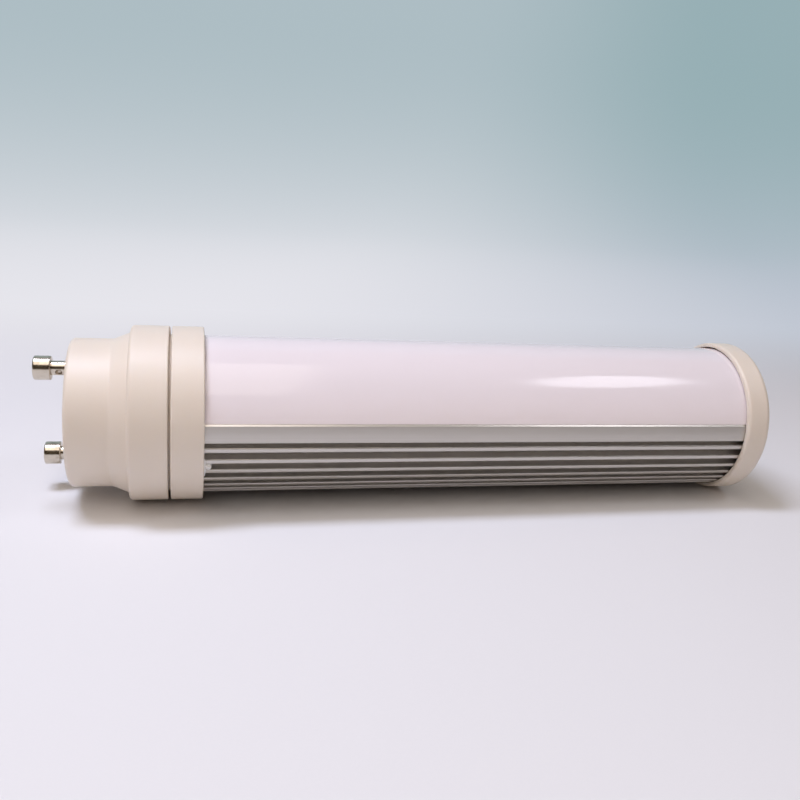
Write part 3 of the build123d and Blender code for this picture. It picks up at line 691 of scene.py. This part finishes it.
def paper():
    """Pale paper of the sweep. Its far part shows as a backdrop that cools and darkens with distance."""
    f = Finish("paper", {"Roughness": 0.85, "Specular IOR Level": 0.2})
    fibres = f.grain(0.4 * MM, detail=3)
    f.set("Base Color", f.blend(0.06 * fibres, PAPER, BACKDROP_HIGH_LEFT))
    distance = f.y + f.z
    reach = abs(f.x - BACKDROP_MIDDLE).most(0 - f.y)
    high = f.rise(distance.most(reach - BACKDROP_CLEAR), *BACKDROP_COOLING)
    right = f.rise(f.x - BACKDROP_SLANT * f.y, *BACKDROP_TURN)
    low_colour = f.blend(right, BACKDROP_LOW_LEFT, BACKDROP_LOW_RIGHT)
    high_colour = f.blend(right, BACKDROP_HIGH_LEFT, BACKDROP_HIGH_RIGHT)
    backdrop = f.take("ShaderNodeEmission", {}, {"Color": f.blend(high, low_colour, high_colour)})
    path = f.add("ShaderNodeLightPath")
    rays = [find_socket(path.outputs, f"Is {ray} Ray") for ray in ("Camera", "Glossy", "Transmission")]
    seen, mirrored, through = (Value(f, ray) for ray in rays)
    behind = f.rise(distance, *BACKDROP_START) * (seen + mirrored + through)
    far = behind.most(f.rise(reach, BACKDROP_CLEAR, 2 * BACKDROP_CLEAR) * seen)
    surface = f.take("ShaderNodeMixShader", {}, {0: far, 1: f.lit, 2: backdrop})
    f.fill(f.output.inputs["Surface"], surface)
    return f.material


def paint(material, *names):
    """Give CAD nodes one finish."""
    for name in names:
        mesh = lamp_nodes[name].data
        mesh.materials.clear()
        mesh.materials.append(material)


def solids(name):
    """Lowest and highest corner of each solid of a CAD node, in order."""
    bm = bmesh.new()
    bm.from_mesh(lamp_nodes[name].data)
    bmesh.ops.remove_doubles(bm, verts=bm.verts, dist=MERGE_DISTANCE)
    boxes = []
    left = set(bm.verts)
    while left:
        island = [left.pop()]
        for vert in island:
            beside = [edge.other_vert(vert) for edge in vert.link_edges]
            island += [other for other in beside if other in left]
            left.difference_update(beside)
        spans = list(zip(*(vert.co for vert in island)))
        boxes.append((tuple(min(s) for s in spans), tuple(max(s) for s in spans)))
    bm.free()
    return [(Vector(low), Vector(high)) for low, high in sorted(boxes)]


def foremost(name, aim):
    """Middle of the foremost side of each solid of a CAD node, along one axis."""
    places = []
    for low, high in solids(name):
        places.append([(a + b) / 2 + way * (b - a) / 2 for a, b, way in zip(low, high, aim)])
    return places


def new_piece(name, mesh):
    """Object in the scene with this mesh."""
    piece = bpy.data.objects.new(name, mesh)
    bpy.context.collection.objects.link(piece)
    return piece


def settle(piece, slot, *nodes):
    """Round off a finished mesh's shading, and hang the piece on the lamp in place of CAD nodes."""
    piece.data.name = piece.name
    piece.data.shade_smooth()
    piece.data.set_sharp_from_angle(angle=SHARP_ANGLE)
    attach(piece, "root")
    if nodes:
        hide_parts(*nodes)


def baked(piece):
    """Turn a piece's modifiers into its plain mesh."""
    ready = piece.evaluated_get(bpy.context.evaluated_depsgraph_get())
    mesh = bpy.data.meshes.new_from_object(ready)
    piece.modifiers.clear()
    piece.data = mesh
    return piece


def grow(name, shaper, places, values):
    """Run a Geometry Nodes tree on a set of points."""
    points = bpy.data.meshes.new(name)
    points.from_pydata(places, [], [])
    piece = new_piece(name, points)
    growth = piece.modifiers.new(name, "NODES")
    growth.node_group = shaper.tree
    for item in shaper.tree.interface.items_tree:
        if item.in_out == "INPUT" and item.name in values:
            growth[item.identifier] = values[item.name]
    return baked(piece)


def lathe(name, outline):
    """Mesh turned about Z from points of height and radius that start and end on the axis."""
    bm = bmesh.new()
    verts = [bm.verts.new((radius, 0, height)) for height, radius in outline]
    edges = [bm.edges.new(pair) for pair in zip(verts, verts[1:])]
    bmesh.ops.spin(
        bm, geom=verts + edges, cent=(0, 0, 0), axis=(0, 0, 1), angle=2 * math.pi, steps=TURN_STEPS
    )
    bmesh.ops.remove_doubles(bm, verts=bm.verts, dist=MERGE_DISTANCE)
    bmesh.ops.recalc_face_normals(bm, faces=bm.faces)
    mesh = bpy.data.meshes.new(name)
    bm.to_mesh(mesh)
    bm.free()
    return mesh


def screw_outline(head, shank):
    """Half outline of a screw from the middle of its head's face to its tip."""
    points = [(0, 0)]
    for i in range(EDGE_STEPS + 1):
        turn = math.pi / 2 * i / EDGE_STEPS
        down = head["rounding"] * (math.cos(turn) - 1)
        points.append((down, head["radius"] - head["rounding"] * (1 - math.sin(turn))))
    if head["flat"]:
        points.append((head["seat"], head["radius"]))
    points.append((head["seat"], shank["core"]))
    points.append((shank["end"] + shank["tip"], shank["core"]))
    points.append((shank["end"], shank["point"]))
    points.append((shank["end"], 0))
    return points


def screw_maker():
    """Screws: a turned blank with a cross recess and a thread, aimed along an axis and turned by chance."""
    recess = ("Recess Length", "Recess Width", "Recess Depth")
    sizes = ("Core", *recess, "Thread Start", "Thread End", "Pitch", "Crest")
    inputs = {"Blank": "Object", "Aim": "Vector", "Seed": "Int"} | dict.fromkeys(sizes, "Float")
    s = Shaper("screw_maker", inputs)
    blank = s.take("GeometryNodeObjectInfo", {}, {"Object": s.given("Blank")}, "Geometry")
    long, wide, deep = (s.given(size) for size in recess)
    headed = s.cut(blank, [s.box((long, wide, 2 * deep)), s.box((wide, long, 2 * deep))])
    end = s.given("Thread End")
    run = s.given("Thread Start") - end
    thread = s.helix(s.given("Core"), run, s.given("Pitch"), s.given("Crest"), THREAD_SIDES)
    screw = s.joined([headed, s.moved(thread, (0, 0, end))])
    chance = s.take("FunctionNodeRandomValue", {}, {"Max": 2 * math.pi, "Seed": s.given("Seed")}, "Value")
    turn = s.take("FunctionNodeAxisAngleToRotation", {}, {"Axis": (0, 0, 1), "Angle": chance})
    aimed = s.take("FunctionNodeAlignRotationToVector", {"axis": "Z"}, {"Vector": s.given("Aim")})
    sockets = {"Rotation": aimed, "Rotate By": turn}
    s.close(screw, s.take("FunctionNodeRotateRotation", {"rotation_space": "LOCAL"}, sockets))
    return s


def screws():
    """Screws in place of the plain ones."""
    maker = screw_maker()
    steel = zinc_steel()
    for name, screw in SCREWS.items():
        outline = screw_outline(screw["head"], screw["shank"])
        blank = new_piece(f"{name}_blank", lathe(f"{name}_blank", outline))
        values = {"Blank": blank, "Aim": screw["aim"], "Seed": SCREW_SEED, "Finish": steel}
        values |= {"Core": screw["shank"]["core"]} | screw["recess"] | screw["thread"]
        piece = grow(f"threaded_{name}", maker, foremost(name, screw["aim"]), values)
        bpy.data.objects.remove(blank)
        settle(piece, "zinc_steel", name)


def led_maker():
    """LED packages: a frame with a well, the phosphor in it, and tinned ends along two sides."""
    s = Shaper("led_maker", dict.fromkeys(LED_SIZES, "Float"))
    wide, high, window, well = (s.given(size) for size in LED_SIZES)
    block = s.box((wide, wide, high), (0, 0, high / 2))
    body = s.cut(block, [s.box((window, window, 2 * well), (0, 0, high))])
    pool = s.box((window, window, well / 2), (0, 0, high - LED_POOL_DROP * well))
    shapes = [s.marked(body, LED_PART, LED_BODY), s.marked(pool, LED_PART, LED_WINDOW)]
    tab_size = (LED_TERMINAL_LENGTH, LED_TERMINAL_WIDTH, LED_TERMINAL_HEIGHT)
    for side in (-1, 1):
        out = side * (wide / 2 - LED_TERMINAL_LENGTH / 2 + LED_TERMINAL_PROUD)
        for row in (-1, 0, 1):
            tab = s.box(tab_size, (out, row * LED_TERMINAL_STEP, LED_TERMINAL_HEIGHT / 2))
            shapes.append(s.marked(tab, LED_PART, LED_TERMINAL))
    s.close(s.joined(shapes))
    return s


def led_rows():
    """LED packages in place of the plain ones."""
    down = (0, 0, -1)
    values = LED_SIZES | {"Finish": led_resin()}
    piece = grow("led_rows", led_maker(), foremost("led_packages", down), values)
    settle(piece, "led_resin", "led_packages")


def choke_winding():
    """Turns of copper wire between the flanges of the choke's drum."""
    sizes = ("Radius", "Run", "Pitch", "Wire")
    s = Shaper("winding_maker", dict.fromkeys(sizes, "Float"))
    s.close(s.helix(*(s.given(size) for size in sizes), CHOKE_WIRE_SIDES))
    low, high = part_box("input_choke")
    foot = ((low.x + high.x) / 2, (low.y + high.y) / 2, low.z + CHOKE_FLANGE + CHOKE_WIRE / 2)
    values = {
        "Radius": (high.y - low.y) / 2 - CHOKE_RECESS + CHOKE_WIRE / 2,
        "Run": high.z - low.z - 2 * CHOKE_FLANGE - CHOKE_WIRE,
        "Pitch": CHOKE_PITCH,
        "Wire": CHOKE_WIRE / 2,
        "Finish": copper_winding(),
    }
    settle(grow("choke_winding", s, [foot], values), "copper_winding")


def lay_blob(bm, middle, long, thick):
    """Add an uneven blob of adhesive about a place in its groove."""
    for vert in bmesh.ops.create_icosphere(bm, subdivisions=DAB_FINENESS, radius=1.0)["verts"]:
        swell = 1 + DAB_ROUGH * noise.noise(DAB_LUMPS * vert.co)
        vert.co = middle + Vector((long * vert.co.x, thick * vert.co.y, thick * vert.co.z)) * swell


def lay_smear(bm, x, fin_r, groove, thick):
    """Add a row of beads over the fins along the collar, which dips where it crosses the groove."""
    first, last = SMEAR_ANGLES
    for i in range(SMEAR_BEADS):
        share = i / (SMEAR_BEADS - 1)
        angle = math.radians(first + (last - first) * share)
        aside = (angle - groove) * fin_r / thick
        dip = SMEAR_DIP * math.exp(-(aside ** SMEAR_DIP_SHARPNESS))
        lump = 1 + SMEAR_ROUGH * noise.noise(Vector((0, 0, SMEAR_LUMPS * share)))
        taper = math.sqrt(math.sin(math.pi * (SMEAR_TAPER + (1 - 2 * SMEAR_TAPER) * share)))
        size = SMEAR_BEAD * lump * taper
        place = Vector((x, -(fin_r - dip) * math.cos(angle), -(fin_r - dip) * math.sin(angle)))
        move = Matrix.Translation(place)
        bmesh.ops.create_icosphere(bm, subdivisions=SMEAR_FINENESS, radius=size, matrix=move)


def dab_of_adhesive():
    """Uneven dab in its groove, smeared over the fins along the collar."""
    low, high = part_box("adhesive_dab")
    sink_low, sink_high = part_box("heat_sink")
    fin_r = (sink_high.y - sink_low.y) / 2
    long = (high.x - low.x) / 2
    thick = DAB_SWELL * (high.y - low.y) / 2
    middle = (low + high) / 2
    groove = math.atan2(-middle.z, -middle.y)
    middle.yz *= 1 + DAB_PROUD / middle.yz.length
    bm = bmesh.new()
    lay_blob(bm, middle, long, thick)
    lay_smear(bm, low.x, fin_r, groove, thick)
    mesh = bpy.data.meshes.new("dab_of_adhesive")
    bm.to_mesh(mesh)
    bm.free()
    piece = new_piece("dab_of_adhesive", mesh)
    skin = piece.modifiers.new("skin", "REMESH")
    skin.mode = "VOXEL"
    skin.voxel_size = DAB_STEP
    ease = piece.modifiers.new("ease", "SMOOTH")
    ease.iterations = DAB_EASING
    baked(piece)
    for vert in piece.data.vertices:
        vert.co.x = max(vert.co.x, low.x)
    piece.data.materials.append(adhesive())
    settle(piece, "adhesive", "adhesive_dab")


def floor_height(x):
    """Height of the paper under a place along the lamp, which rests on its collar and its end cap."""
    collar_low, collar_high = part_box("collar")
    cap_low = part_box("end_cap")[0]
    slope = (cap_low.z - collar_low.z) / (cap_low.x - collar_high.x)
    return collar_low.z + slope * (x - collar_high.x)


def sweep():
    """Paper that runs along the floor and curves up behind."""
    profile = [(SWEEP_FRONT, 0), (SWEEP_RISE, 0)]
    for i in range(1, SWEEP_ARC_STEPS + 1):
        turn = math.pi / 2 * i / SWEEP_ARC_STEPS
        profile.append((SWEEP_RISE + SWEEP_RADIUS * math.sin(turn), SWEEP_RADIUS * (1 - math.cos(turn))))
    profile.append((SWEEP_RISE + SWEEP_RADIUS, SWEEP_TOP))
    bm = bmesh.new()
    sides = []
    for x in (-SWEEP_HALF_WIDTH, SWEEP_HALF_WIDTH):
        sides.append([bm.verts.new((x, y, z + floor_height(x))) for y, z in profile])
    for i in range(len(profile) - 1):
        bm.faces.new((sides[0][i], sides[1][i], sides[1][i + 1], sides[0][i + 1])).smooth = True
    mesh = bpy.data.meshes.new("sweep")
    bm.to_mesh(mesh)
    bm.free()
    mesh.materials.append(paper())
    new_piece("sweep", mesh)


def ceiling_light(name, shape, place, size, radiance, colour, in_gloss):
    """Flat light above the lamp."""
    light = bpy.data.lights.new(name, "AREA")
    light.shape = shape
    light.size, light.size_y = size
    light.energy = math.pi * size[0] * size[1] * radiance
    light.color = colour
    panel = bpy.data.objects.new(name, light)
    panel.location = place
    panel.visible_glossy = in_gloss
    bpy.context.collection.objects.link(panel)


def room():
    """Dim room, darker low in front of the lamp and to its right. Its walls show the backdrop's tones."""
    world = bpy.data.worlds.new("room")
    world.use_nodes = True
    graph = Graph(world.node_tree)
    x, y, z = graph.split(graph.take("ShaderNodeTexCoord", output="Generated"))
    lit = graph.rise(z + ROOM_LEAN[0] * x + ROOM_LEAN[1] * y, *ROOM_SPAN)
    light = graph.blend(lit, ROOM_DARK, ROOM_LIGHT)
    right = graph.rise(x - BACKDROP_SLANT * y, *ROOM_TURN)
    walls = graph.blend(right, BACKDROP_HIGH_LEFT, BACKDROP_HIGH_RIGHT)
    seen = graph.take("ShaderNodeLightPath", output="Is Camera Ray")
    sockets = {"Color": graph.blend(seen, light, walls), "Strength": 1.0}
    glow = graph.take("ShaderNodeBackground", {}, sockets)
    graph.add("ShaderNodeOutputWorld", {}, {"Surface": glow})
    bpy.context.scene.world = world


def camera():
    """Camera at the photograph's viewing angle."""
    data = bpy.data.cameras.new("camera")
    data.lens = CAMERA_LENS
    data.sensor_width = CAMERA_SENSOR
    data.clip_start = CAMERA_NEAR
    eye = bpy.data.objects.new("camera", data)
    back = CAMERA_RIGHT.cross(CAMERA_UP)
    turn = Matrix((CAMERA_RIGHT, CAMERA_UP, back)).transposed()
    eye.matrix_world = Matrix.Translation(CAMERA_PLACE) @ turn.to_4x4()
    bpy.context.collection.objects.link(eye)
    bpy.context.scene.camera = eye


paint(ivory_plastic(), "base_cap", "collar", "end_cap")
paint(nickel_plate(), "contact_pin_line", "contact_pin_neutral")
paint(anodised_aluminium(), "heat_sink")
paint(opal_plastic(), "diffuser")
paint(white_board(), "led_board")
paint(grey_pad(), "thermal_pad")
paint(green_laminate(), "driver_board")
paint(blue_sleeve(), "driver_sleeve")
paint(ferrite(), "transformer_core", "input_choke")
paint(winding_tape(), "transformer_winding")
paint(film_case(), "film_capacitor")
paint(resistor_coat(), "fuse_resistor")
for name in ("input_capacitor", "output_capacitor"):
    paint(can_film(name), name)
for name in ("bridge_rectifier", "controller_chip"):
    paint(black_epoxy(name), name)
paint(insulation("black"), "line_lead", "led_lead_negative")
paint(insulation("white"), "neutral_lead")
paint(insulation("red"), "led_lead_positive")
screws()
led_rows()
choke_winding()
dab_of_adhesive()

sweep()
for name, settings in CEILING_LIGHTS.items():
    ceiling_light(name, *settings)
room()
camera()
bpy.context.scene.view_settings.view_transform = "Standard"
